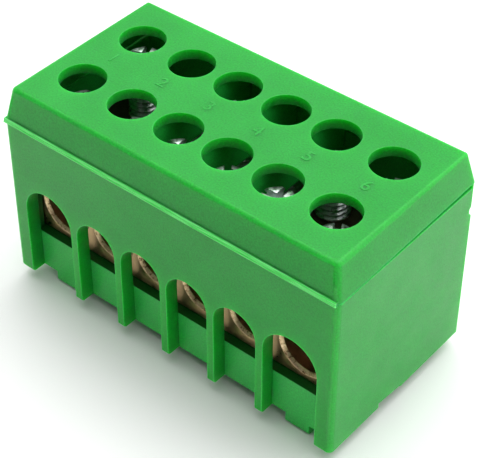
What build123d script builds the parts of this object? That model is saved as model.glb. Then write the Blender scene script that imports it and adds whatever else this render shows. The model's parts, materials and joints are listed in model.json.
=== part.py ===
from build123d import *
import os

# Two-row terminal block in an insulating moulding with a film-hinged lid.
# Millimetres. X runs along the block, the hinge is on the -Y side and Z is up.
# Z = 0 is the lower rim of the moulding, which seats on the mounting plate.
# The four snap feet reach below it, through the plate.

# Wire entries: the arches in the moulding set the pitch of the columns
SMALL_ARCH_RADIUS = 4.25
LARGE_ARCH_RADIUS = 5.25
RIB = 1.5
END_LEG = 3.3
ARCH_Z = 15.0
ENTRY_DEPTH = 4.25
RECESS_DEPTH = 2.75

# Brass bar
SMALL_BORE_RADIUS = 4.1
LARGE_BORE_RADIUS = 4.85
BORE_Z = 14.75
BORE_CHAMFER = 0.55
BAR_DEPTH = 27.0
BAR_HEIGHT = 15.5
BAR_END_WALL = 1.65
BAR_CLEARANCE = 0.1
BAR_EDGE = 0.3
BAR_GUIDE = 0.9

# Clamp screws, M6, set back from the long faces of the bar
SCREW_SETBACK = 6.2
SCREW_RADIUS = 2.95
THREAD_CLEARANCE = 0.05
SCREW_LENGTH = 14.0
SLOT_WIDTH = 1.15
SLOT_DEPTH = 1.5
# How far each head stands above the bar, and how far it is turned
FRONT_RISES = (11.2, 10.85, 11.5, 11.1, 12.15, 10.9)
REAR_RISES = (12.2, 9.6, 10.75, 9.4, 10.3, 10.45)
FRONT_TURNS = (12.0, 63.0, 5.0, 38.0, 4.0, 27.0)
REAR_TURNS = (20.0, 71.0, 33.0, 8.0, 52.0, 41.0)

# Moulding
FLOOR_TOP = 8.1
FLOOR = 1.8
RIM_Z = 32.35
SIDE_WALL = 1.8
END_WALL = 1.8
LOW_WALL = 1.8
SHOULDER = 1.75
FRONT_CORNER_RADIUS = 1.0
REAR_CORNER_RADIUS = 0.5
CAVITY_RADIUS = 0.6
LEG_CHAMFER = 0.45
NOTCH_LOW_Y = -4.9
NOTCH_MID_Y = 0.6
NOTCH_HIGH_Y = 2.3
NOTCH_HEIGHT = 1.3
NOTCH_STEP = 0.7

# Snap feet
FOOT_X = 25.8
FOOT_WIDTH = 4.8
FOOT_HEIGHT = 2.2
FOOT_CHAMFER = 0.5

# Lid
LID_HEIGHT = 6.55
LID_TAPER_X = 1.3
LID_TAPER_Y = 1.15
LID_PLATE = 2.0
LID_WALL = 1.8
LID_EDGE_RADIUS = 0.4
HOLE_RADIUS = 4.02
LID_RIB_DEPTH = 2.8
LID_RIB_CLEARANCE = 0.3
SEAM_FRONT = 0.1
SEAM_REAR = 0.7

# Rear skirt of the lid, lying in a rebate of the moulding
SKIRT = 0.8
SKIRT_CLEARANCE = 0.08
SKIRT_DROP = 4.75
SKIRT_RISE = 1.2
GRIP_GROOVE = 0.5

# Film hinge: a thin lip on the moulding, a rounded one on the lid and the film between them
LIP_REACH = 0.35
LOWER_LIP = 0.15
UPPER_LIP = 0.6
LIP_ROUNDING = 0.25
LIP_INSET = 0.35
FILM_RADIUS = 0.15
FILM_CLEARANCE = 0.05
LIP_ROOT = 1.2

# Modelling: how far cutting tools run past a face, how near counts as on it, and how much
# of its length an edge must rise to count as upright
OVERCUT = 1.0
TOLERANCE = 0.01
UPRIGHT_SHARE = 0.9

# Worked out from the sizes above
SMALL_PITCH = 2 * SMALL_ARCH_RADIUS + RIB
END_PITCH = SMALL_ARCH_RADIUS + RIB + LARGE_ARCH_RADIUS
INNER_X = [(i - 1.5) * SMALL_PITCH for i in range(4)]
OUTER_X = INNER_X[-1] + END_PITCH
COLUMN_X = [-OUTER_X] + INNER_X + [OUTER_X]
ARCH_RADII = [LARGE_ARCH_RADIUS] + [SMALL_ARCH_RADIUS] * 4 + [LARGE_ARCH_RADIUS]
BORE_RADII = [LARGE_BORE_RADIUS] + [SMALL_BORE_RADIUS] * 4 + [LARGE_BORE_RADIUS]
RIB_X = [-OUTER_X + LARGE_ARCH_RADIUS + RIB / 2] + [(i - 1) * SMALL_PITCH for i in range(3)]
RIB_X = RIB_X + [-RIB_X[0]]
HALF_LENGTH = OUTER_X + LARGE_ARCH_RADIUS + END_LEG
HALF_DEPTH = BAR_DEPTH / 2 + ENTRY_DEPTH
ROW_Y = BAR_DEPTH / 2 - SCREW_SETBACK
RECESS_Y = HALF_DEPTH - RECESS_DEPTH
BAR_TOP = FLOOR_TOP + BAR_HEIGHT
BAR_LENGTH = 2 * (OUTER_X + LARGE_BORE_RADIUS + BAR_END_WALL)
SHOULDER_Z = ARCH_Z + LARGE_ARCH_RADIUS + SHOULDER
HINGE_Y = -HALF_DEPTH - LIP_REACH
HINGE_Z = RIM_Z + SEAM_FRONT
LID_BASE_Z = HINGE_Z + SEAM_FRONT / 2
LID_TOP_Z = HINGE_Z + LID_HEIGHT
LID_UNDERSIDE_Z = LID_TOP_Z - LID_PLATE
SKIRT_BOTTOM_Z = RIM_Z - SKIRT_DROP
SKIRT_TOP_Z = HINGE_Z + SKIRT_RISE
SEAM_REAR_Z = RIM_Z + SEAM_REAR


def block(x_half, y_half, z_low, z_high, radius=0.0):
    """A block centred on the Z axis, with its upright edges rounded."""
    height = z_high - z_low
    solid = Pos(0, 0, z_low + height / 2) * Box(2 * x_half, 2 * y_half, height)
    if radius > 0:
        solid = fillet(solid.edges().filter_by(Axis.Z), radius)
    return solid


def upright_edges(solid, side):
    """The edges at the corners on one side, -1 for the front and 1 for the rear."""
    upright = [e for e in solid.edges() if abs((e @ 1 - e @ 0).Z) > UPRIGHT_SHARE * e.length]
    return [e for e in upright if e.center().Y * side > 0]


def run_along_x(points, half_length):
    """A bar along X whose section is the polygon of (y, z) points."""
    section = Plane.YZ * make_face(Polyline(*points, close=True))
    return extrude(section, amount=half_length, both=True)


def run_along_y(points, half_depth):
    """A bar along Y whose section is the polygon of (x, z) points."""
    section = Plane.XZ * make_face(Polyline(*points, close=True))
    return extrude(section, amount=half_depth, both=True)


def arch(radius, z_low, y_near, y_far):
    """An arch-topped passage along Y from z_low up, around the arch centre."""
    sketch = Circle(radius)
    straight = ARCH_Z - z_low
    sketch += Pos(0, -straight / 2) * Rectangle(2 * radius, straight)
    passage = extrude(Plane.XZ * sketch, amount=(y_far - y_near) / 2, both=True)
    return Pos(0, (y_near + y_far) / 2, ARCH_Z) * passage


def both_sides(solid):
    """The solid and its mirror image in the XZ plane."""
    return [solid, mirror(solid, about=Plane.XZ)]


def wire_entries():
    """The arched recesses between the ribs, which open into the pocket above the floor."""
    cuts = []
    for x, radius in zip(COLUMN_X, ARCH_RADII):
        cuts += both_sides(Pos(x, 0, 0) * arch(radius, -OVERCUT, RECESS_Y, HALF_DEPTH + OVERCUT))
    return cuts


def inner_hollows():
    """The bar's pocket with its end guides, the screw space above and the open underside."""
    pocket_x = BAR_LENGTH / 2 + BAR_CLEARANCE
    pocket_y = BAR_DEPTH / 2 + BAR_CLEARANCE
    pocket = block(pocket_x, pocket_y, FLOOR_TOP, RIM_Z)
    pocket = pocket + block(pocket_x - BAR_GUIDE, RECESS_Y, FLOOR_TOP, SHOULDER_Z)
    x_half = HALF_LENGTH - END_WALL
    cavity = block(x_half, HALF_DEPTH - SIDE_WALL, SHOULDER_Z, RIM_Z + OVERCUT, CAVITY_RADIUS)
    underside = block(x_half, RECESS_Y - LOW_WALL, -OVERCUT, FLOOR_TOP - FLOOR, CAVITY_RADIUS)
    webs = [Pos(x, 0, 0) * block(RIB / 2, RECESS_Y, -2 * OVERCUT, FLOOR_TOP) for x in RIB_X]
    return [pocket, cavity, underside - webs]


def end_notch():
    """The shallow notch in the lower rim of each end wall."""
    points = [
        (NOTCH_LOW_Y, -OVERCUT),
        (NOTCH_LOW_Y, NOTCH_HEIGHT),
        (NOTCH_MID_Y, NOTCH_STEP),
        (NOTCH_HIGH_Y, 0.0),
        (NOTCH_HIGH_Y, -OVERCUT),
    ]
    through = run_along_x(points, HALF_LENGTH + OVERCUT)
    return through - block(HALF_LENGTH - END_WALL - OVERCUT, HALF_DEPTH, -2 * OVERCUT, FLOOR_TOP)


def skirt_rebate():
    """The step in the rear wall that the lid's skirt lies in, with a sloping lower edge."""
    inner_y = HALF_DEPTH - SKIRT - SKIRT_CLEARANCE
    low_z = SKIRT_BOTTOM_Z - GRIP_GROOVE
    points = [
        (inner_y, low_z),
        (inner_y, RIM_Z + OVERCUT),
        (HALF_DEPTH + OVERCUT, RIM_Z + OVERCUT),
        (HALF_DEPTH + OVERCUT, low_z - SKIRT - OVERCUT),
        (HALF_DEPTH, low_z - SKIRT),
    ]
    return run_along_x(points, HALF_LENGTH + OVERCUT)


def hinge_lip():
    """The lip on the moulding's front edge, below the crease, with the hinge film on its edge."""
    half = HALF_LENGTH - LIP_INSET
    depth = LIP_REACH + LIP_ROOT
    lip = Pos(0, HINGE_Y + depth / 2, RIM_Z - LOWER_LIP / 2) * Box(2 * half, depth, LOWER_LIP)
    film = Pos(0, HINGE_Y, HINGE_Z) * Rot(0, 90, 0) * Cylinder(FILM_RADIUS, 2 * half)
    return lip + film


def snap_feet():
    """Four feet that carry the recessed walls on through the mounting plate."""
    inner_y = RECESS_Y - LOW_WALL
    points = [
        (RECESS_Y, OVERCUT),
        (RECESS_Y, FOOT_CHAMFER - FOOT_HEIGHT),
        (RECESS_Y - FOOT_CHAMFER, -FOOT_HEIGHT),
        (inner_y, -FOOT_HEIGHT),
        (inner_y, OVERCUT),
    ]
    foot = run_along_x(points, FOOT_WIDTH / 2)
    feet = []
    for x in (-FOOT_X, FOOT_X):
        feet += both_sides(Pos(x, 0, 0) * foot)
    return feet


def make_housing():
    body = block(HALF_LENGTH, HALF_DEPTH, 0.0, RIM_Z)
    body = fillet(upright_edges(body, -1), FRONT_CORNER_RADIUS)
    body = fillet(upright_edges(body, 1), REAR_CORNER_RADIUS)
    body = body - wire_entries()
    low_edges = body.edges().filter_by(Axis.X).filter_by_position(Axis.Z, -TOLERANCE, TOLERANCE)
    outer_edges = [e for e in low_edges if abs(e.center().Y) > HALF_DEPTH - TOLERANCE]
    body = chamfer(outer_edges, LEG_CHAMFER)
    body = body - inner_hollows()
    body = body - end_notch() - skirt_rebate()
    return body + hinge_lip() + snap_feet()


def lid_form(inset, high_z, front_radius, rear_radius):
    """The lid's tapering form, inset all round. Its rear face is upright up to the skirt's top."""
    share = (high_z - HINGE_Z) / LID_HEIGHT
    x_half = HALF_LENGTH - inset
    y_half = HALF_DEPTH - inset
    rear_slope = LID_TAPER_Y / (LID_TOP_Z - SKIRT_TOP_Z)
    lengthwise = [
        (-x_half, HINGE_Z),
        (share * LID_TAPER_X - x_half, high_z),
        (x_half - share * LID_TAPER_X, high_z),
        (x_half, HINGE_Z),
    ]
    crosswise = [
        (-y_half, HINGE_Z),
        (share * LID_TAPER_Y - y_half, high_z),
        (y_half - rear_slope * (high_z - SKIRT_TOP_Z), high_z),
        (y_half - rear_slope * (HINGE_Z - SKIRT_TOP_Z), HINGE_Z),
    ]
    form = run_along_x(crosswise, HALF_LENGTH) & run_along_y(lengthwise, HALF_DEPTH + OVERCUT)
    form = fillet(upright_edges(form, -1), front_radius)
    form = fillet(upright_edges(form, 1), rear_radius)
    return form & block(HALF_LENGTH, y_half, HINGE_Z, high_z)


def seam_wedge():
    """What is cut from the lid's rim so that the seam opens towards the rear."""
    points = [
        (HINGE_Y - OVERCUT, HINGE_Z - OVERCUT),
        (HINGE_Y - OVERCUT, LID_BASE_Z),
        (-HALF_DEPTH, LID_BASE_Z),
        (HALF_DEPTH, SEAM_REAR_Z),
        (HALF_DEPTH + OVERCUT, SEAM_REAR_Z),
        (HALF_DEPTH + OVERCUT, HINGE_Z - OVERCUT),
    ]
    return run_along_x(points, HALF_LENGTH + OVERCUT)


def lid_ribs():
    """The partitions under the lid that stand between the small terminals."""
    y_half = HALF_DEPTH - SIDE_WALL - LID_RIB_CLEARANCE
    rib = block(RIB / 2, y_half, HINGE_Z - LID_RIB_DEPTH, LID_TOP_Z - LID_PLATE / 2)
    envelope = lid_form(LID_WALL / 2, LID_TOP_Z, CAVITY_RADIUS, CAVITY_RADIUS)
    below = block(HALF_LENGTH, y_half, HINGE_Z - LID_RIB_DEPTH, HINGE_Z)
    return [Pos(x, 0, 0) * rib & (envelope + below) for x in RIB_X[1:-1]]


def rear_skirt():
    """The thin skirt on the lid's rear edge, with a sloping lower edge, flush with the lid's ends."""
    inner_y = HALF_DEPTH - SKIRT
    points = [
        (inner_y, SKIRT_BOTTOM_Z),
        (inner_y, SEAM_REAR_Z),
        (HALF_DEPTH, SEAM_REAR_Z),
        (HALF_DEPTH, SKIRT_BOTTOM_Z + SKIRT),
    ]
    x_half = HALF_LENGTH - LID_TAPER_X * (SEAM_REAR_Z - HINGE_Z) / LID_HEIGHT
    ends = block(x_half, HALF_DEPTH, SKIRT_BOTTOM_Z, LID_TOP_Z, REAR_CORNER_RADIUS)
    return run_along_x(points, HALF_LENGTH) & ends


def lid_lip():
    """The lip on the lid's front edge, above the crease, relieved around the film."""
    half = HALF_LENGTH - LIP_INSET
    depth = LIP_REACH + LIP_ROOT
    lip = Pos(0, HINGE_Y + depth / 2, LID_BASE_Z + UPPER_LIP / 2) * Box(2 * half, depth, UPPER_LIP)
    outer = lip.faces().sort_by(Axis.Y)[0].edges()
    lip = fillet(outer.filter_by(Axis.X).sort_by(Axis.Z)[-1:], LIP_ROUNDING)
    relief = Cylinder(FILM_RADIUS + FILM_CLEARANCE, 2 * HALF_LENGTH)
    return lip - Pos(0, HINGE_Y, HINGE_Z) * Rot(0, 90, 0) * relief


def driver_holes():
    """The round holes over the screws."""
    cutter = Pos(0, 0, LID_TOP_Z - LID_HEIGHT / 2) * Cylinder(HOLE_RADIUS, LID_HEIGHT + OVERCUT)
    return [Pos(x, y, 0) * cutter for x in COLUMN_X for y in (-ROW_Y, ROW_Y)]


def make_lid():
    lid = lid_form(0.0, LID_TOP_Z, FRONT_CORNER_RADIUS, REAR_CORNER_RADIUS)
    lid = fillet(lid.faces().sort_by(Axis.Z)[-1].edges(), LID_EDGE_RADIUS)
    lid = lid - lid_form(LID_WALL, LID_UNDERSIDE_Z, CAVITY_RADIUS, CAVITY_RADIUS) - seam_wedge()
    lid = lid + rear_skirt() + lid_lip() + lid_ribs()
    return lid - driver_holes()


def make_busbar():
    bar = block(BAR_LENGTH / 2, BAR_DEPTH / 2, FLOOR_TOP, BAR_TOP)
    bar = chamfer(bar.edges().filter_by(Axis.X), BAR_EDGE)
    mouth_y = BAR_DEPTH / 2
    for x, radius in zip(COLUMN_X, BORE_RADII):
        bore = Cylinder(radius, BAR_DEPTH + 2 * OVERCUT)
        cone = Cone(radius + BORE_CHAMFER, radius, BORE_CHAMFER)
        near = Pos(0, 0, BORE_CHAMFER / 2 - mouth_y) * cone
        cutter = bore + near + mirror(near, about=Plane.XY)
        bar = bar - Pos(x, 0, BORE_Z) * Rot(90, 0, 0) * cutter
    thread_radius = SCREW_RADIUS + THREAD_CLEARANCE
    depth = BAR_TOP - BORE_Z
    for x in COLUMN_X:
        for y in (-ROW_Y, ROW_Y):
            bar = bar - Pos(x, y, BAR_TOP - depth / 2) * Cylinder(thread_radius, depth)
    return bar


def make_screw(x, y, rise, turn):
    """A headless clamp screw with crossed slots and a flat point."""
    shank = Cylinder(SCREW_RADIUS, SCREW_LENGTH)
    slot = Box(3 * SCREW_RADIUS, SLOT_WIDTH, 2 * SLOT_DEPTH)
    cross = slot + Rot(0, 0, 90) * slot
    shank = shank - Pos(0, 0, SCREW_LENGTH / 2) * cross
    top_z = BAR_TOP + rise
    return Pos(x, y, top_z - SCREW_LENGTH / 2) * Rot(0, 0, turn) * shank


def make_parts():
    parts = {"housing": make_housing(), "lid": make_lid(), "busbar": make_busbar()}
    rows = (("front", -ROW_Y, FRONT_RISES, FRONT_TURNS), ("rear", ROW_Y, REAR_RISES, REAR_TURNS))
    for row, y, rises, turns in rows:
        for number, x in enumerate(COLUMN_X, start=1):
            screw = make_screw(x, y, rises[number - 1], turns[number - 1])
            parts[f"{row}_screw_{number}"] = screw
    return parts


os.makedirs("parts", exist_ok=True)
for name, solid in make_parts().items():
    export_step(solid, f"parts/{name}.step")
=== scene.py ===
import json
import math

import bmesh
import bpy
from mathutils import Matrix, Vector

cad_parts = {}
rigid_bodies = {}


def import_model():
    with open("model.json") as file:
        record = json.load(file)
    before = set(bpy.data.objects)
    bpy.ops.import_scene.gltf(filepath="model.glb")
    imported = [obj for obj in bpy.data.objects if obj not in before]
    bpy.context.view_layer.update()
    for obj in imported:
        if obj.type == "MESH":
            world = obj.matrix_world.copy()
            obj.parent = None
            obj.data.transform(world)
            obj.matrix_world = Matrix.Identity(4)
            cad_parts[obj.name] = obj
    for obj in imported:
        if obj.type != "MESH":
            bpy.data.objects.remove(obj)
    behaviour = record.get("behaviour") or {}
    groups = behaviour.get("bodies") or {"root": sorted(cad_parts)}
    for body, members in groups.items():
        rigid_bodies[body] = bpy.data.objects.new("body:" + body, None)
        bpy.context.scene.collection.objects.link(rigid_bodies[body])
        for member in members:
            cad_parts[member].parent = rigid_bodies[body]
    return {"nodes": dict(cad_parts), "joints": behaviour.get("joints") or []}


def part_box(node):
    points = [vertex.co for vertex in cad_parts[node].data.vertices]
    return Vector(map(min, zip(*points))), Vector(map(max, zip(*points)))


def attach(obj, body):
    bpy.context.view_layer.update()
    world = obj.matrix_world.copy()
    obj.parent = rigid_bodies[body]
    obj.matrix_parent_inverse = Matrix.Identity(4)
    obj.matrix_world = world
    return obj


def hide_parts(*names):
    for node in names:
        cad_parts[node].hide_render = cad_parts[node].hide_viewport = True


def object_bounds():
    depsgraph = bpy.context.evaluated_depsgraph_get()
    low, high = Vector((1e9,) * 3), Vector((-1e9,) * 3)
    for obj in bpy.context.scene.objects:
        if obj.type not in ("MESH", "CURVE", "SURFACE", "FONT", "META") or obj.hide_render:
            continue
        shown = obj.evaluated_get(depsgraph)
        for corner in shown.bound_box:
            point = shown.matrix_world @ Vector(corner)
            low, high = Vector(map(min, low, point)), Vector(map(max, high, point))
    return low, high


# Insulated terminal block: a drilled brass bar with clamp screws in a green moulding.
# Metres, in the frame's own axes: X along the block, the hinge on the -Y side, Z up.

MM = 0.001

# Camera, solved from the corners, arches and holes in the photograph
IMAGE_WIDTH = 478
IMAGE_HEIGHT = 458
SENSOR_WIDTH = 36.0
FOCAL_PIXELS = 1560.35
CENTRE_PIXEL = (205.12, 168.83)
CAMERA_AT = (0.126176, -0.150481, 0.188634)
CAMERA_AZIMUTH = 41.299
CAMERA_ELEVATION = 39.135
CAMERA_ROLL = -0.901

# Columns of terminals, from -X to +X, as in the part's source
COLUMN_X = [x * MM for x in (-26.0, -15.0, -5.0, 5.0, 15.0, 26.0)]
BORE_Z = 14.75 * MM
BORE_RADII = [4.85 * MM] + [4.1 * MM] * 4 + [4.85 * MM]
BORE_CHAMFER = 0.55 * MM
BORE_MARGIN = 0.1 * MM

# The lid's top edge: its corners in plan, its taper, and how many times wider its rounding gets
FRONT_CORNER = 1.0 * MM
REAR_CORNER = 0.5 * MM
LID_TAPER_X = 1.3 * MM
LID_TAPER_Y = 1.15 * MM
EDGE_ZONE = 0.6 * MM
FRONT_WIDENING = 2.6
REAR_WIDENING = 1.4

# Where the faces inside the moulding lie, whose plastic doesn't scatter: the ledge and the cavity
# of the housing, and the hollow of the lid
LEDGE_Z = 8.1 * MM
SHOULDER_Z = 22.0 * MM
RECESS_Y = 15.0 * MM
CAVITY_X = 32.75 * MM
CAVITY_Y = 15.95 * MM
PLATE_UNDERSIDE_Z = 37.0 * MM
MARGIN = 0.05 * MM
RIM_EDGE = 0.20 * MM
# Shares of a normal along an axis: under the first a face runs along the axis, over the second across it
BLEND = 0.28
FLAT = 0.95

# Edges that a mould or a tool leaves slightly round
SHARP_ANGLE = 30.0
FLAT_ANGLE = 0.5
WELD = 0.001 * MM
PLASTIC_EDGE = 0.16 * MM
BRASS_EDGE = 0.07 * MM
EDGE_SEGMENTS = 2
# Edges that stay sharp: near the film of the hinge, and on the lid near its seam
HINGE_DEPTH = 0.45 * MM
HINGE_HALF_HEIGHT = 1.1 * MM
SEAM_HALF_HEIGHT = 0.8 * MM

# The materials of each piece, in the order of the indices that its faces hold
MOULDING_MATERIALS = (
    "green_plastic", "green_edge", "green_cavity", "green_ledge", "green_thin", "green_rim"
)
# Of the moulding's materials, those of edges, rims and thin walls are paler as painted light, and the
# ledge's is darker as painted shade.
PAINTED_LIGHT_INDEX, CAVITY_INDEX, SHADED_LEDGE_INDEX, RECESS_LIGHT_INDEX, HIGHLIGHT_RIM_INDEX = range(1, 6)
BAR_MATERIALS = ("brass", "cut_brass", "bored_brass", "dull_brass")
# The darkened brass of the bar's top is painted shade.
CUT_INDEX, BORED_INDEX, SHADED_TOP_INDEX = range(1, 4)
SCREW_MATERIALS = ("zinc_steel", "oiled_steel")
# The nearly black steel of the threads is painted shade.
HEAD_INDEX, THREAD_INDEX = range(2)

# Plastic: how far light travels in it, how far each colour does as a share of that, and the colours of
# its regions: faces, thin walls paler as painted light, the cavity, the ledge darker as painted shade,
# edges and rims paler as painted light and highlights, and the hinge strip, pale from strain whitening and
# a painted highlight. The glow, painted light over the hinge, and the proud strip belong to the hinge, and
# the rest are sizes of marks.
SCATTER = 5.0 * MM
SCATTER_SHARES = (0.06, 1.0, 0.12)
PLASTIC_IOR = 1.37
GREEN_LOW = (0.011, 0.335, 0.038)
GREEN_HIGH = (0.015, 0.372, 0.045)
# Painted light: the thin walls between the ribs are paler for the light that passes through them and
# bounces into the bays.
RECESS_LIGHT_LOW = (0.036, 0.550, 0.086)
RECESS_LIGHT_HIGH = (0.044, 0.610, 0.100)
CAVITY_LOW = (0.014, 0.440, 0.050)
CAVITY_HIGH = (0.018, 0.490, 0.058)
# Painted shade: the ledge and the faces inside the moulding below the shoulder are nearly black green, for
# the shadow that falls under the arches.
SHADED_LEDGE_LOW = (0.003, 0.125, 0.015)
SHADED_LEDGE_HIGH = (0.005, 0.155, 0.020)
# Painted light: the rounded top edges, upright corners and hole walls, the glow above the hinge and the
# numbers take this paler green in place of light falling or scattering there.
PAINTED_LIGHT_LOW = (0.018, 0.385, 0.048)
PAINTED_LIGHT_HIGH = (0.024, 0.430, 0.056)
# Painted highlight: every rounded edge of the moulding that gets no other colour takes this paler green.
HIGHLIGHT_RIM_LOW = (0.034, 0.520, 0.074)
HIGHLIGHT_RIM_HIGH = (0.044, 0.590, 0.090)
# The hinge strip's colour is partly strain whitening and partly a painted highlight on its bead.
STRAIN_AND_HIGHLIGHT_LOW = (0.060, 0.780, 0.100)
STRAIN_AND_HIGHLIGHT_HIGH = (0.200, 0.960, 0.260)
GLOW_HEIGHT = 1.3 * MM
PROUD_START = 0.2 * MM
PROUD_END = 0.04 * MM
CLOUD = 9.0 * MM
SPECKLE = 0.30 * MM
STREAK = 0.16 * MM
STREAK_STRETCH = (0.03, 1.0, 1.0)
PATCH = 5.0 * MM
GRAIN = 0.26 * MM
GRAIN_HEIGHT = 0.03 * MM
WAVES = 6.0 * MM
WAVES_HEIGHT = 0.05 * MM

# Brass: its tones, the dark one of the bar's top being painted shade, the sizes of its marks and how high
# they stand
BRASS_TONE = (0.50, 0.335, 0.175)
SHADED_TOP_TONE = (0.10, 0.09, 0.05)
DRAWN_STRETCH = (0.04, 1.0, 1.0)
DRAWN_LINES = 0.12 * MM
DRAWN_HEIGHT = 0.012 * MM
BRASS_PATCH = 1.6 * MM
BRASS_GRAIN = 0.25 * MM
BRASS_GRAIN_HEIGHT = 0.010 * MM
CUT_SPOTS = 0.7 * MM
CUT_TEARS = 0.3 * MM
CUT_HEIGHT = 0.05 * MM
RING_STRETCH = (0.12, 1.0, 0.12)
DRILL_RINGS = 0.18 * MM
RING_HEIGHT = 0.03 * MM
BORE_PATCH = 2.0 * MM

# Steel: its tones, the nearly black one of the threads being painted shade, the sizes of its marks and how
# high its crystals stand
ZINC_TONE = (0.70, 0.76, 0.75)
SHADED_THREAD_TONE = (0.018, 0.036, 0.038)
ZINC_CRYSTALS = 0.035 * MM
THREAD_CRYSTALS = 0.006 * MM
CRYSTAL = 0.20 * MM
STEEL_PATCH = 0.8 * MM
SCRATCH_STRETCH = (1.0, 0.08, 1.0)
SCRATCH = 0.10 * MM
SCRATCH_HEIGHT = 0.010 * MM

# Screws; the crest and the root are shares of the pitch, and the turns are degrees
THREAD_PITCH = 1.0 * MM
THREAD_DEPTH = 0.56 * MM
THREAD_CREST = 0.16
THREAD_ROOT = 0.10
THREAD_SEGMENTS = 64
THREAD_STEPS_PER_PITCH = 12
HEAD_CHAMFER = 0.35 * MM
POINT_CHAMFER = 0.8 * MM
SLOT_WIDTH = 1.15 * MM
SLOT_DEPTH = 1.5 * MM
SLOT_EDGE = 0.07 * MM
FRONT_TURNS = (12.0, 63.0, 5.0, 38.0, 4.0, 27.0)
REAR_TURNS = (20.0, 71.0, 33.0, 8.0, 52.0, 41.0)

# Raised numbers on the lid, whose digits take up a share of their font's size
NUMBER_HEIGHT = 2.3 * MM
DIGIT_SHARE = 0.69
NUMBER_SHARP_ANGLE = 60.0
NUMBER_RISE = 0.08 * MM
NUMBER_SINK = 0.08 * MM
NUMBER_EDGE = 0.08 * MM

# Stage
FLOOR_HALF = 1.6
FLOOR_TONE = 0.96
FLOOR_UNEVENNESS = 0.01
FLOOR_CLOUD = 0.4

# Light: wide soft lamps in the world, each a direction, a power of its cosine and a strength
SOFT_LAMPS = {
    "overhead": ((0.0, 0.20, 1.0), 6.0, 4.0),
    "rear_left": ((-0.512, 0.583, 0.631), 6.0, 0.35),
    "left": ((-0.93, 0.0, 0.37), 6.0, 1.35),
    "rear": ((-0.1, 0.93, 0.35), 6.0, 0.3),
    "rear_right": ((0.55, 0.72, 0.42), 6.0, 2.1),
    "front": ((-0.15, -0.93, 0.33), 6.0, 0.08),
}


def clear_scene():
    for item in list(bpy.data.objects):
        bpy.data.objects.remove(item)


# Node helpers


def new_material(name):
    material = bpy.data.materials.new(name)
    material.use_nodes = True
    tree = material.node_tree
    tree.nodes.clear()
    output = tree.nodes.new("ShaderNodeOutputMaterial")
    shader = tree.nodes.new("ShaderNodeBsdfPrincipled")
    tree.links.new(shader.outputs["BSDF"], output.inputs["Surface"])
    return material, tree, shader


def coordinates(tree, stretch=(1.0, 1.0, 1.0)):
    """Object coordinates in metres, stretched along each axis."""
    source = tree.nodes.new("ShaderNodeTexCoord")
    mapping = tree.nodes.new("ShaderNodeMapping")
    mapping.inputs["Scale"].default_value = stretch
    tree.links.new(source.outputs["Object"], mapping.inputs["Vector"])
    return mapping.outputs["Vector"]


def axis_value(tree, vector, axis):
    node = tree.nodes.new("ShaderNodeSeparateXYZ")
    tree.links.new(vector, node.inputs["Vector"])
    return node.outputs[axis]


def noise_value(tree, vector, size, detail=2.0, roughness=0.5):
    """Noise whose features measure about size, in metres."""
    node = tree.nodes.new("ShaderNodeTexNoise")
    node.inputs["Scale"].default_value = 1.0 / size
    node.inputs["Detail"].default_value = detail
    node.inputs["Roughness"].default_value = roughness
    tree.links.new(vector, node.inputs["Vector"])
    return node.outputs["Fac"]


def ramp(tree, value, stops):
    """A colour ramp through (place, colour) stops."""
    node = tree.nodes.new("ShaderNodeValToRGB")
    elements = node.color_ramp.elements
    while len(elements) < len(stops):
        elements.new(0.5)
    for element, (place, colour) in zip(elements, stops):
        element.position = place
        element.color = (*colour, 1.0)
    tree.links.new(value, node.inputs["Fac"])
    return node.outputs["Color"]


def spread(tree, value, low, high, from_low=0.3, from_high=0.7):
    node = tree.nodes.new("ShaderNodeMapRange")
    node.inputs["From Min"].default_value = from_low
    node.inputs["From Max"].default_value = from_high
    node.inputs["To Min"].default_value = low
    node.inputs["To Max"].default_value = high
    tree.links.new(value, node.inputs["Value"])
    return node.outputs["Result"]


def product(tree, first, second):
    node = tree.nodes.new("ShaderNodeMath")
    node.operation = "MULTIPLY"
    tree.links.new(first, node.inputs[0])
    tree.links.new(second, node.inputs[1])
    return node.outputs["Value"]


def number_step(tree, operation, value, amount, added=None):
    node = tree.nodes.new("ShaderNodeMath")
    node.operation = operation
    tree.links.new(value, node.inputs[0])
    node.inputs[1].default_value = amount
    if added is not None:
        tree.links.new(added, node.inputs[2])
    return node.outputs["Value"]


def blend_colour(tree, share, under, over):
    node = tree.nodes.new("ShaderNodeMix")
    node.data_type = "RGBA"
    tree.links.new(share, node.inputs["Factor"])
    tree.links.new(under, node.inputs["A"])
    tree.links.new(over, node.inputs["B"])
    return node.outputs["Result"]


def scaled_colour(tree, colour, scale):
    node = tree.nodes.new("ShaderNodeVectorMath")
    node.operation = "SCALE"
    tree.links.new(colour, node.inputs["Vector"])
    tree.links.new(scale, node.inputs["Scale"])
    return node.outputs["Vector"]


def bump(tree, height, distance, strength=1.0, under=None):
    node = tree.nodes.new("ShaderNodeBump")
    node.inputs["Strength"].default_value = strength
    node.inputs["Distance"].default_value = distance
    tree.links.new(height, node.inputs["Height"])
    if under is not None:
        tree.links.new(under, node.inputs["Normal"])
    return node.outputs["Normal"]


# Materials


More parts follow.
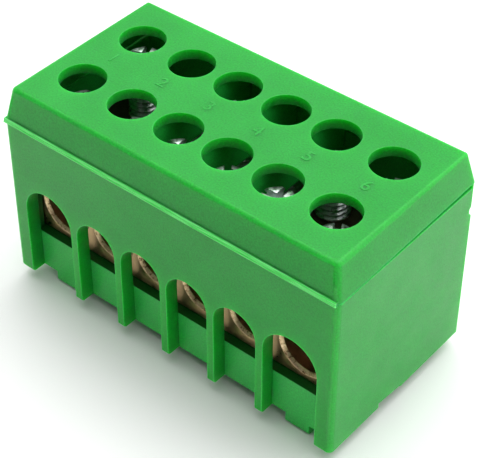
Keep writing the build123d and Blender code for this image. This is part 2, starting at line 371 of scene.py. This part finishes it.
def green_plastic(name, low, high, hinge_at, scatter_weight=1.0):
    """Satin moulded plastic: fine grain, faint clouds, painted light just above the hinge, and a hinge
    strip pale from strain whitening and a painted highlight.
    """
    front_y, hinge_z = hinge_at
    material, tree, shader = new_material(name)
    place = coordinates(tree)
    cloud = noise_value(tree, place, CLOUD, 3.0, 0.55)
    body = ramp(tree, cloud, ((0.30, low), (0.70, high)))
    speckle = noise_value(tree, place, SPECKLE, 2.0, 0.6)
    body = scaled_colour(tree, body, spread(tree, speckle, 0.84, 1.16))
    # Painted light: a band at the front just above the hinge is blended to the paler green of the edges.
    front = spread(tree, axis_value(tree, place, "Y"), 1.0, 0.0, front_y, front_y + GLOW_HEIGHT)
    height = axis_value(tree, place, "Z")
    glow = product(tree, front, spread(tree, height, 1.0, 0.0, hinge_z, hinge_z + GLOW_HEIGHT))
    glow = product(tree, glow, spread(tree, height, 0.0, 1.0, hinge_z - MARGIN, hinge_z))
    body = blend_colour(tree, glow, body, ramp(tree, cloud, ((0.30, PAINTED_LIGHT_LOW), (0.70, PAINTED_LIGHT_HIGH))))
    # The strip standing proud at the hinge: strain whitening and a painted highlight.
    streak = noise_value(tree, coordinates(tree, STREAK_STRETCH), STREAK, 2.0, 0.6)
    pale = ramp(tree, streak, ((0.40, STRAIN_AND_HIGHLIGHT_LOW), (0.60, STRAIN_AND_HIGHLIGHT_HIGH)))
    depth = axis_value(tree, place, "Y")
    proud = spread(tree, depth, 1.0, 0.0, front_y - PROUD_START, front_y - PROUD_END)
    tree.links.new(blend_colour(tree, proud, body, pale), shader.inputs["Base Color"])
    weight = spread(tree, proud, scatter_weight, 0.0, 0.0, 1.0)
    tree.links.new(weight, shader.inputs["Subsurface Weight"])
    patch = noise_value(tree, place, PATCH, 4.0, 0.6)
    tree.links.new(spread(tree, patch, 0.34, 0.44), shader.inputs["Roughness"])
    grain = noise_value(tree, place, GRAIN, 2.0, 0.6)
    waves = noise_value(tree, place, WAVES, 1.0)
    surface = bump(tree, waves, WAVES_HEIGHT, 0.5)
    surface = bump(tree, grain, GRAIN_HEIGHT, 0.8, surface)
    tree.links.new(surface, shader.inputs["Normal"])
    shader.inputs["IOR"].default_value = PLASTIC_IOR
    shader.inputs["Subsurface Radius"].default_value = SCATTER_SHARES
    shader.inputs["Subsurface Scale"].default_value = SCATTER
    return material


def brass(name, tone, rough_low, rough_high):
    """Drawn brass: lines along the bar and a slightly dull, patchy surface."""
    material, tree, shader = new_material(name)
    drawn = coordinates(tree, DRAWN_STRETCH)
    place = coordinates(tree)
    lines = noise_value(tree, drawn, DRAWN_LINES, 3.0, 0.6)
    patch = noise_value(tree, place, BRASS_PATCH, 4.0, 0.65)
    colour = ramp(tree, patch, (
        (0.25, tuple(0.70 * c for c in tone)),
        (0.60, tone),
        (0.85, tuple(1.18 * c for c in tone)),
    ))
    tree.links.new(colour, shader.inputs["Base Color"])
    tree.links.new(spread(tree, patch, rough_low, rough_high), shader.inputs["Roughness"])
    grain = noise_value(tree, place, BRASS_GRAIN, 3.0, 0.6)
    surface = bump(tree, lines, DRAWN_HEIGHT, 0.6)
    surface = bump(tree, grain, BRASS_GRAIN_HEIGHT, 0.5, surface)
    tree.links.new(surface, shader.inputs["Normal"])
    shader.inputs["Metallic"].default_value = 1.0
    return material


def cut_brass():
    """The chamfers round the bores, turned bright, with torn dark spots and burrs."""
    material, tree, shader = new_material("cut_brass")
    place = coordinates(tree)
    spots = noise_value(tree, place, CUT_SPOTS, 4.0, 0.7)
    colour = ramp(tree, spots, (
        (0.38, (0.14, 0.08, 0.04)),
        (0.44, (0.66, 0.47, 0.26)),
        (0.70, (0.92, 0.74, 0.47)),
    ))
    tree.links.new(colour, shader.inputs["Base Color"])
    tree.links.new(spread(tree, spots, 0.50, 0.32), shader.inputs["Roughness"])
    torn = noise_value(tree, place, CUT_TEARS, 3.0, 0.7)
    tree.links.new(bump(tree, torn, CUT_HEIGHT, 0.8), shader.inputs["Normal"])
    shader.inputs["Metallic"].default_value = 1.0
    return material


def bored_brass():
    """Inside the bores: brown, with the drill's rings around the axis."""
    material, tree, shader = new_material("bored_brass")
    rings = noise_value(tree, coordinates(tree, RING_STRETCH), DRILL_RINGS, 3.0, 0.6)
    patch = noise_value(tree, coordinates(tree), BORE_PATCH, 3.0, 0.6)
    colour = ramp(tree, patch, (
        (0.30, (0.28, 0.15, 0.08)),
        (0.70, (0.52, 0.31, 0.17)),
    ))
    tree.links.new(colour, shader.inputs["Base Color"])
    tree.links.new(spread(tree, rings, 0.38, 0.56), shader.inputs["Roughness"])
    tree.links.new(bump(tree, rings, RING_HEIGHT, 0.8), shader.inputs["Normal"])
    shader.inputs["Metallic"].default_value = 1.0
    return material


def zinc_steel(name, tone, rough_low, rough_high, crystal_height):
    """Zinc plating with fine crystals, scratches and small dull patches."""
    material, tree, shader = new_material(name)
    place = coordinates(tree)
    patch = noise_value(tree, place, STEEL_PATCH, 4.0, 0.65)
    colour = ramp(tree, patch, (
        (0.25, tuple(0.55 * c for c in tone)),
        (0.60, tone),
        (0.85, tuple(1.15 * c for c in tone)),
    ))
    tree.links.new(colour, shader.inputs["Base Color"])
    tree.links.new(spread(tree, patch, rough_low, rough_high), shader.inputs["Roughness"])
    crystals = noise_value(tree, place, CRYSTAL, 2.0, 0.6)
    scratches = noise_value(tree, coordinates(tree, SCRATCH_STRETCH), SCRATCH, 2.0, 0.7)
    surface = bump(tree, scratches, SCRATCH_HEIGHT, 0.5)
    surface = bump(tree, crystals, crystal_height, 0.8, surface)
    tree.links.new(surface, shader.inputs["Normal"])
    shader.inputs["Metallic"].default_value = 1.0
    return material


def pale_floor():
    material, tree, shader = new_material("pale_floor")
    place = coordinates(tree)
    cloud = noise_value(tree, place, FLOOR_CLOUD, 2.0)
    low = FLOOR_TONE - FLOOR_UNEVENNESS
    colour = ramp(tree, cloud, (
        (0.3, (low, low, low)),
        (0.7, (FLOOR_TONE, FLOOR_TONE, FLOOR_TONE)),
    ))
    tree.links.new(colour, shader.inputs["Base Color"])
    shader.inputs["Roughness"].default_value = 0.6
    return material


# Geometry


def link(mesh, name):
    piece = bpy.data.objects.new(name, mesh)
    bpy.context.scene.collection.objects.link(piece)
    return piece


def shade(piece, sharp_angle):
    """Smooth shading up to an angle, with flat faces kept flat."""
    piece.data.shade_smooth()
    piece.data.set_sharp_from_angle(angle=math.radians(sharp_angle))
    modifier = piece.modifiers.new("flat_faces", "WEIGHTED_NORMAL")
    modifier.keep_sharp = True


def finish_piece(piece, body, material, node=None):
    if not piece.data.materials:
        piece.data.materials.append(material)
    if node is not None:
        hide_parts(node)
    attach(piece, body)
    return piece


def node_shape(frame, node):
    """The node's solid, with its flat faces whole again."""
    shape = bmesh.new()
    shape.from_mesh(frame["nodes"][node].data)
    for face in shape.faces:
        face.material_index = 0
    bmesh.ops.remove_doubles(shape, verts=shape.verts, dist=WELD)
    bmesh.ops.dissolve_limit(
        shape, angle_limit=math.radians(FLAT_ANGLE), verts=shape.verts, edges=shape.edges
    )
    return shape


def sharp_edges(shape, wanted):
    limit = math.radians(SHARP_ANGLE)
    sharp = [e for e in shape.edges if e.is_manifold and e.is_convex and e.calc_face_angle() > limit]
    return [e for e in sharp if wanted(e)]


def round_edges(shape, width, wanted, material_index=0):
    bmesh.ops.bevel(
        shape,
        geom=sharp_edges(shape, wanted),
        offset=width,
        offset_type="OFFSET",
        segments=EDGE_SEGMENTS,
        profile=0.5,
        affect="EDGES",
        clamp_overlap=False,
        material=material_index,
    )


def outline_point(at, x_half, y_half):
    """The point of the lid's top outline, before its edge was rounded, nearest to a point in plan."""
    radius = FRONT_CORNER if at.y < 0 else REAR_CORNER
    centre = Vector((math.copysign(x_half - radius, at.x), math.copysign(y_half - radius, at.y)))
    away = Vector((at.x - centre.x, at.y - centre.y))
    past_x = away.x * math.copysign(1.0, at.x) > 0
    past_y = away.y * math.copysign(1.0, at.y) > 0
    if past_x and past_y:
        return centre + away.normalized() * radius
    if past_y or y_half - abs(at.y) < x_half - abs(at.x):
        return Vector((at.x, math.copysign(y_half, at.y)))
    return Vector((math.copysign(x_half, at.x), at.y))


def soften_top_edge(shape, top_z, x_half, y_half):
    """Widens the rounding between the lid's top and its sides."""
    for vert in shape.verts:
        at = vert.co
        if at.z < top_z - EDGE_ZONE or min(x_half - abs(at.x), y_half - abs(at.y)) > EDGE_ZONE:
            continue
        flat = outline_point(at, x_half, y_half)
        corner = Vector((flat.x, flat.y, top_z))
        scale = REAR_WIDENING if at.y > 0 else FRONT_WIDENING
        vert.co = corner + (at - corner) * scale


def is_inside(node, at):
    """Whether a face of the housing or the lid lies inside the closed moulding."""
    if node == "lid":
        deep = at.z < PLATE_UNDERSIDE_Z + MARGIN
    else:
        deep = at.z > LEDGE_Z - MARGIN
    inner_y = RECESS_Y + MARGIN if at.z < SHOULDER_Z else CAVITY_Y + RIM_EDGE
    return deep and abs(at.x) < CAVITY_X + RIM_EDGE and abs(at.y) < inner_y


def is_rounded_corner(normal, at, top_z):
    """Whether a face belongs to the lid's rounded top edge or to an upright corner."""
    if at.z > top_z - EDGE_ZONE and BLEND < normal.z < FLAT:
        return True
    in_corner = abs(at.x) > CAVITY_X and abs(at.y) > CAVITY_Y
    return in_corner and min(abs(normal.x), abs(normal.y)) > BLEND


def is_hole_wall(node, normal, at):
    upright = abs(normal.z) < BLEND
    return node == "lid" and upright and at.z > PLATE_UNDERSIDE_Z and abs(at.y) < RECESS_Y


def is_thin_wall(node, normal, at):
    """Whether a face is on the housing's low wall between the ribs, which is thin and gets a paler green
    as painted light.
    """
    across = abs(normal.y) > BLEND
    return node == "housing" and across and abs(abs(at.y) - RECESS_Y) < MARGIN


def moulding_index(node, normal, at, top_z):
    """Which of the moulding's materials a face gets, or None where it keeps the one it has."""
    # Inside faces get the ledge's painted shade; rounded edges, upright corners and hole walls get the
    # paler green of painted light, and so do the thin walls between the ribs.
    if is_inside(node, at):
        return CAVITY_INDEX if at.z > SHOULDER_Z else SHADED_LEDGE_INDEX
    if is_rounded_corner(normal, at, top_z) or is_hole_wall(node, normal, at):
        return PAINTED_LIGHT_INDEX
    return RECESS_LIGHT_INDEX if is_thin_wall(node, normal, at) else None


def to_mesh(shape, name):
    mesh = bpy.data.meshes.new(name)
    shape.to_mesh(mesh)
    shape.free()
    return mesh


def make_moulding(frame, node, hinge_z, front_y, materials):
    """The housing or the lid, with its edges as round as a mould leaves them."""

    def can_be_rounded(edge):
        """Leaves out the hinge, and the strips that are too narrow to round: the shoulder and the seam."""
        middle = (edge.verts[0].co + edge.verts[1].co) / 2
        if abs(middle.z - SHOULDER_Z) < MARGIN:
            return False
        if node == "lid" and abs(middle.z - hinge_z) < SEAM_HALF_HEIGHT:
            return False
        return middle.y > front_y + HINGE_DEPTH or abs(middle.z - hinge_z) > HINGE_HALF_HEIGHT

    shape = node_shape(frame, node)
    if node == "lid":
        low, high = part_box(node)
        soften_top_edge(shape, high.z, high.x - LID_TAPER_X, high.y - LID_TAPER_Y)
    # The bevels of the rounded edges take the rim green, a painted highlight.
    round_edges(shape, PLASTIC_EDGE, can_be_rounded, HIGHLIGHT_RIM_INDEX)
    top_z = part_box("lid")[1].z
    for face in shape.faces:
        index = moulding_index(node, face.normal, face.calc_center_median(), top_z)
        if index is not None:
            face.material_index = index
    piece = link(to_mesh(shape, node), f"{node}_moulded")
    for name in MOULDING_MATERIALS:
        piece.data.materials.append(materials[name])
    finish_piece(piece, node, materials["green_plastic"], node)
    shade(piece, SHARP_ANGLE)
    return piece


def make_bar(frame, materials):
    """The bar, with the cut chamfers and the bores told apart from its drawn faces, and its top darkened
    as painted shade.
    """
    low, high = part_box("busbar")
    shape = node_shape(frame, "busbar")
    round_edges(shape, BRASS_EDGE, lambda edge: True)
    for face in shape.faces:
        at = face.calc_center_median()
        # The top of the bar is darkened as painted shade.
        if at.z > high.z - WELD:
            face.material_index = SHADED_TOP_INDEX
            continue
        for x, radius in zip(COLUMN_X, BORE_RADII):
            distance = math.hypot(at.x - x, at.z - BORE_Z)
            if distance > radius + BORE_CHAMFER or abs(face.normal.y) > FLAT:
                continue
            inside = low.y + BORE_CHAMFER < at.y < high.y - BORE_CHAMFER
            near_wall = abs(distance - radius) < BORE_MARGIN
            if inside and near_wall:
                face.material_index = BORED_INDEX
            elif not inside:
                face.material_index = CUT_INDEX
    piece = link(to_mesh(shape, "busbar"), "busbar_machined")
    for name in BAR_MATERIALS:
        piece.data.materials.append(materials[name])
    finish_piece(piece, "housing", materials["brass"], "busbar")
    shade(piece, SHARP_ANGLE)
    return piece


def thread_radius(outer, share):
    """The radius at a share of one pitch: crest, flank down, root and flank up."""
    flank = (1.0 - THREAD_CREST - THREAD_ROOT) / 2
    share = share % 1.0
    if share < THREAD_CREST:
        depth = 0.0
    elif share < THREAD_CREST + flank:
        depth = (share - THREAD_CREST) / flank
    elif share < THREAD_CREST + flank + THREAD_ROOT:
        depth = 1.0
    else:
        depth = (1.0 - share) / flank
    return outer - THREAD_DEPTH * depth


def screw_mesh(outer, length):
    """A threaded shank about the Z axis, with its top at zero."""
    steps = round(length / THREAD_PITCH * THREAD_STEPS_PER_PITCH)
    heights = [-length * step / steps for step in range(steps + 1)]
    shape = bmesh.new()
    rings = []
    for z in heights:
        into_head = max(0.0, HEAD_CHAMFER + z)
        into_point = max(0.0, POINT_CHAMFER - (z + length))
        limit = outer - max(into_head, into_point)
        ring = []
        for segment in range(THREAD_SEGMENTS):
            turn = segment / THREAD_SEGMENTS
            angle = turn * math.tau
            radius = min(limit, thread_radius(outer, z / THREAD_PITCH - turn))
            ring.append(shape.verts.new((radius * math.cos(angle), radius * math.sin(angle), z)))
        rings.append(ring)
    for upper, lower in zip(rings, rings[1:]):
        for k in range(THREAD_SEGMENTS):
            after = (k + 1) % THREAD_SEGMENTS
            shape.faces.new((upper[k], lower[k], lower[after], upper[after]))
    shape.faces.new(rings[0])
    shape.faces.new(list(reversed(rings[-1])))
    bmesh.ops.recalc_face_normals(shape, faces=shape.faces)
    return to_mesh(shape, "thread")


def box_mesh(size):
    shape = bmesh.new()
    bmesh.ops.create_cube(shape, size=1.0)
    bmesh.ops.scale(shape, vec=size, verts=shape.verts)
    return to_mesh(shape, "cutter")


def cut(piece, cutter):
    """Cuts one object out of another for good, and removes the cutter."""
    modifier = piece.modifiers.new("cut", "BOOLEAN")
    modifier.operation = "DIFFERENCE"
    modifier.solver = "EXACT"
    modifier.object = cutter
    graph = bpy.context.evaluated_depsgraph_get()
    mesh = bpy.data.meshes.new_from_object(piece.evaluated_get(graph))
    piece.modifiers.clear()
    piece.data = mesh
    bpy.data.objects.remove(cutter)


def slotted_screw(outer, length):
    """The mesh of one screw with its crossed slots."""
    piece = link(screw_mesh(outer, length), "screw_master")
    for turn in (0.0, math.pi / 2):
        cutter = link(box_mesh((3 * outer, SLOT_WIDTH, 2 * SLOT_DEPTH)), "slot_cutter")
        cutter.rotation_euler.z = turn
        bpy.context.view_layer.update()
        cut(piece, cutter)
    shape = bmesh.new()
    shape.from_mesh(piece.data)
    bpy.data.objects.remove(piece)
    bmesh.ops.remove_doubles(shape, verts=shape.verts, dist=WELD)
    bmesh.ops.dissolve_limit(
        shape, angle_limit=math.radians(FLAT_ANGLE), verts=shape.verts, edges=shape.edges
    )
    round_edges(shape, SLOT_EDGE, lambda edge: min(v.co.z for v in edge.verts) > -WELD)
    for face in shape.faces:
        at = face.calc_center_median()
        in_slot = min(abs(at.x), abs(at.y)) < SLOT_WIDTH / 2 + WELD and at.z > -SLOT_DEPTH - WELD
        # The threads take the nearly black steel, a painted shade.
        face.material_index = HEAD_INDEX if at.z > -HEAD_CHAMFER or in_slot else THREAD_INDEX
    return to_mesh(shape, "screw")


def make_screws(materials):
    low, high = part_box("front_screw_1")
    outer = (high.x - low.x) / 2
    master = slotted_screw(outer, high.z - low.z)
    for row, turns in (("front", FRONT_TURNS), ("rear", REAR_TURNS)):
        for number, turn in enumerate(turns, start=1):
            node = f"{row}_screw_{number}"
            low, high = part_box(node)
            mesh = master.copy()
            place = Matrix.Translation(((low.x + high.x) / 2, (low.y + high.y) / 2, high.z))
            mesh.transform(place @ Matrix.Rotation(math.radians(turn), 4, "Z"))
            piece = link(mesh, f"{node}_threaded")
            piece.data.materials.clear()
            for name in SCREW_MATERIALS:
                piece.data.materials.append(materials[name])
            finish_piece(piece, node, materials["zinc_steel"], node)
            mesh.shade_smooth()
            mesh.set_sharp_from_angle(angle=math.radians(SHARP_ANGLE))


def make_numbers(material, top_z):
    """Plain raised numbers, one for each column, between the two rows of holes."""
    for number, x in enumerate(COLUMN_X, start=1):
        text = bpy.data.curves.new(f"number_{number}", "FONT")
        text.body = str(number)
        text.align_x = "CENTER"
        text.align_y = "CENTER"
        text.size = NUMBER_HEIGHT / DIGIT_SHARE
        text.extrude = (NUMBER_RISE + NUMBER_SINK) / 2 - NUMBER_EDGE
        text.bevel_depth = NUMBER_EDGE
        text.bevel_resolution = 2
        text.offset = -NUMBER_EDGE / 2
        curve = bpy.data.objects.new("number_curve", text)
        bpy.context.scene.collection.objects.link(curve)
        graph = bpy.context.evaluated_depsgraph_get()
        mesh = bpy.data.meshes.new_from_object(curve.evaluated_get(graph))
        bpy.data.objects.remove(curve)
        shape = bmesh.new()
        shape.from_mesh(mesh)
        bmesh.ops.remove_doubles(shape, verts=shape.verts, dist=WELD)
        bpy.data.meshes.remove(mesh)
        mesh = to_mesh(shape, f"number_{number}")
        mesh.transform(Matrix.Translation((x, 0, top_z + (NUMBER_RISE - NUMBER_SINK) / 2)))
        mesh.materials.clear()
        piece = link(mesh, f"column_number_{number}")
        finish_piece(piece, "lid", material)
        shade(piece, NUMBER_SHARP_ANGLE)


# Stage


def make_floor(height):
    mesh = bpy.data.meshes.new("floor")
    s = FLOOR_HALF
    corners = [(-s, -s, height), (s, -s, height), (s, s, height), (-s, s, height)]
    mesh.from_pydata(corners, [], [(0, 1, 2, 3)])
    floor = link(mesh, "floor")
    mesh.materials.append(pale_floor())


def make_lights():
    """Soft light all round: a world that is the sum of wide soft lamps, mostly above and at the sides."""
    world = bpy.data.worlds.new("studio")
    world.use_nodes = True
    tree = world.node_tree
    background = tree.nodes["Background"]
    background.inputs["Color"].default_value = (1.0, 1.0, 1.0, 1.0)
    direction = tree.nodes.new("ShaderNodeTexCoord").outputs["Generated"]
    total = None
    for towards, power, strength in SOFT_LAMPS.values():
        facing = tree.nodes.new("ShaderNodeVectorMath")
        facing.operation = "DOT_PRODUCT"
        tree.links.new(direction, facing.inputs[0])
        facing.inputs[1].default_value = Vector(towards).normalized()
        lit = number_step(tree, "MAXIMUM", facing.outputs["Value"], 0.0)
        lobe = number_step(tree, "POWER", lit, power)
        if total is None:
            total = number_step(tree, "MULTIPLY", lobe, strength)
        else:
            total = number_step(tree, "MULTIPLY_ADD", lobe, strength, total)
    tree.links.new(total, background.inputs["Strength"])
    bpy.context.scene.world = world


def make_camera():
    data = bpy.data.cameras.new("camera")
    data.sensor_width = SENSOR_WIDTH
    data.lens = FOCAL_PIXELS * SENSOR_WIDTH / IMAGE_WIDTH
    data.shift_x = (IMAGE_WIDTH / 2 - CENTRE_PIXEL[0]) / IMAGE_WIDTH
    data.shift_y = (CENTRE_PIXEL[1] - IMAGE_HEIGHT / 2) / IMAGE_WIDTH
    data.clip_start = 0.01
    data.clip_end = 20.0
    camera = bpy.data.objects.new("camera", data)
    a, e = math.radians(CAMERA_AZIMUTH), math.radians(CAMERA_ELEVATION)
    back = Vector((math.sin(a) * math.cos(e), -math.cos(a) * math.cos(e), math.sin(e)))
    level = (-back).to_track_quat("-Z", "Y").to_matrix().to_4x4()
    roll = Matrix.Rotation(math.radians(CAMERA_ROLL), 4, "Z")
    camera.matrix_world = Matrix.Translation(CAMERA_AT) @ level @ roll
    bpy.context.scene.collection.objects.link(camera)
    bpy.context.scene.camera = camera


clear_scene()
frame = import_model()
cad_bounds = [list(corner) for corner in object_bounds()]
bpy.context.scene.view_settings.view_transform = "Standard"

hinge = next(joint for joint in frame["joints"] if joint["name"] == "lid_hinge")
hinge_z = hinge["pos_m"][2]
lid_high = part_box("lid")[1]
front_y = -lid_high.y
hinge_at = (front_y, hinge_z)

# Of these, the edge, rim and thin-wall greens and the numbers' green are paler as painted light, and the
# ledge's green, the brass of the bar's top and the steel of the threads are darker as painted shade.
materials = {
    "green_plastic": green_plastic("green_plastic", GREEN_LOW, GREEN_HIGH, hinge_at),
    "green_edge": green_plastic("green_edge", PAINTED_LIGHT_LOW, PAINTED_LIGHT_HIGH, hinge_at),
    "green_cavity": green_plastic("green_cavity", CAVITY_LOW, CAVITY_HIGH, hinge_at, 0.0),
    "green_rim": green_plastic("green_rim", HIGHLIGHT_RIM_LOW, HIGHLIGHT_RIM_HIGH, hinge_at),
    "green_thin": green_plastic("green_thin", RECESS_LIGHT_LOW, RECESS_LIGHT_HIGH, hinge_at),
    "green_ledge": green_plastic("green_ledge", SHADED_LEDGE_LOW, SHADED_LEDGE_HIGH, hinge_at, 0.0),
    # The numbers take the paler green of painted light, without scattering.
    "green_number": green_plastic("green_number", PAINTED_LIGHT_LOW, PAINTED_LIGHT_HIGH, hinge_at, 0.0),
    "brass": brass("brass", BRASS_TONE, 0.26, 0.44),
    "dull_brass": brass("dull_brass", SHADED_TOP_TONE, 0.34, 0.48),
    "cut_brass": cut_brass(),
    "bored_brass": bored_brass(),
    "zinc_steel": zinc_steel("zinc_steel", ZINC_TONE, 0.22, 0.50, ZINC_CRYSTALS),
    "oiled_steel": zinc_steel("oiled_steel", SHADED_THREAD_TONE, 0.22, 0.34, THREAD_CRYSTALS),
}
make_moulding(frame, "housing", hinge_z, front_y, materials)
make_moulding(frame, "lid", hinge_z, front_y, materials)
make_bar(frame, materials)
make_screws(materials)
make_numbers(materials["green_number"], lid_high.z)
make_floor(cad_bounds[0][2])
make_lights()
make_camera()
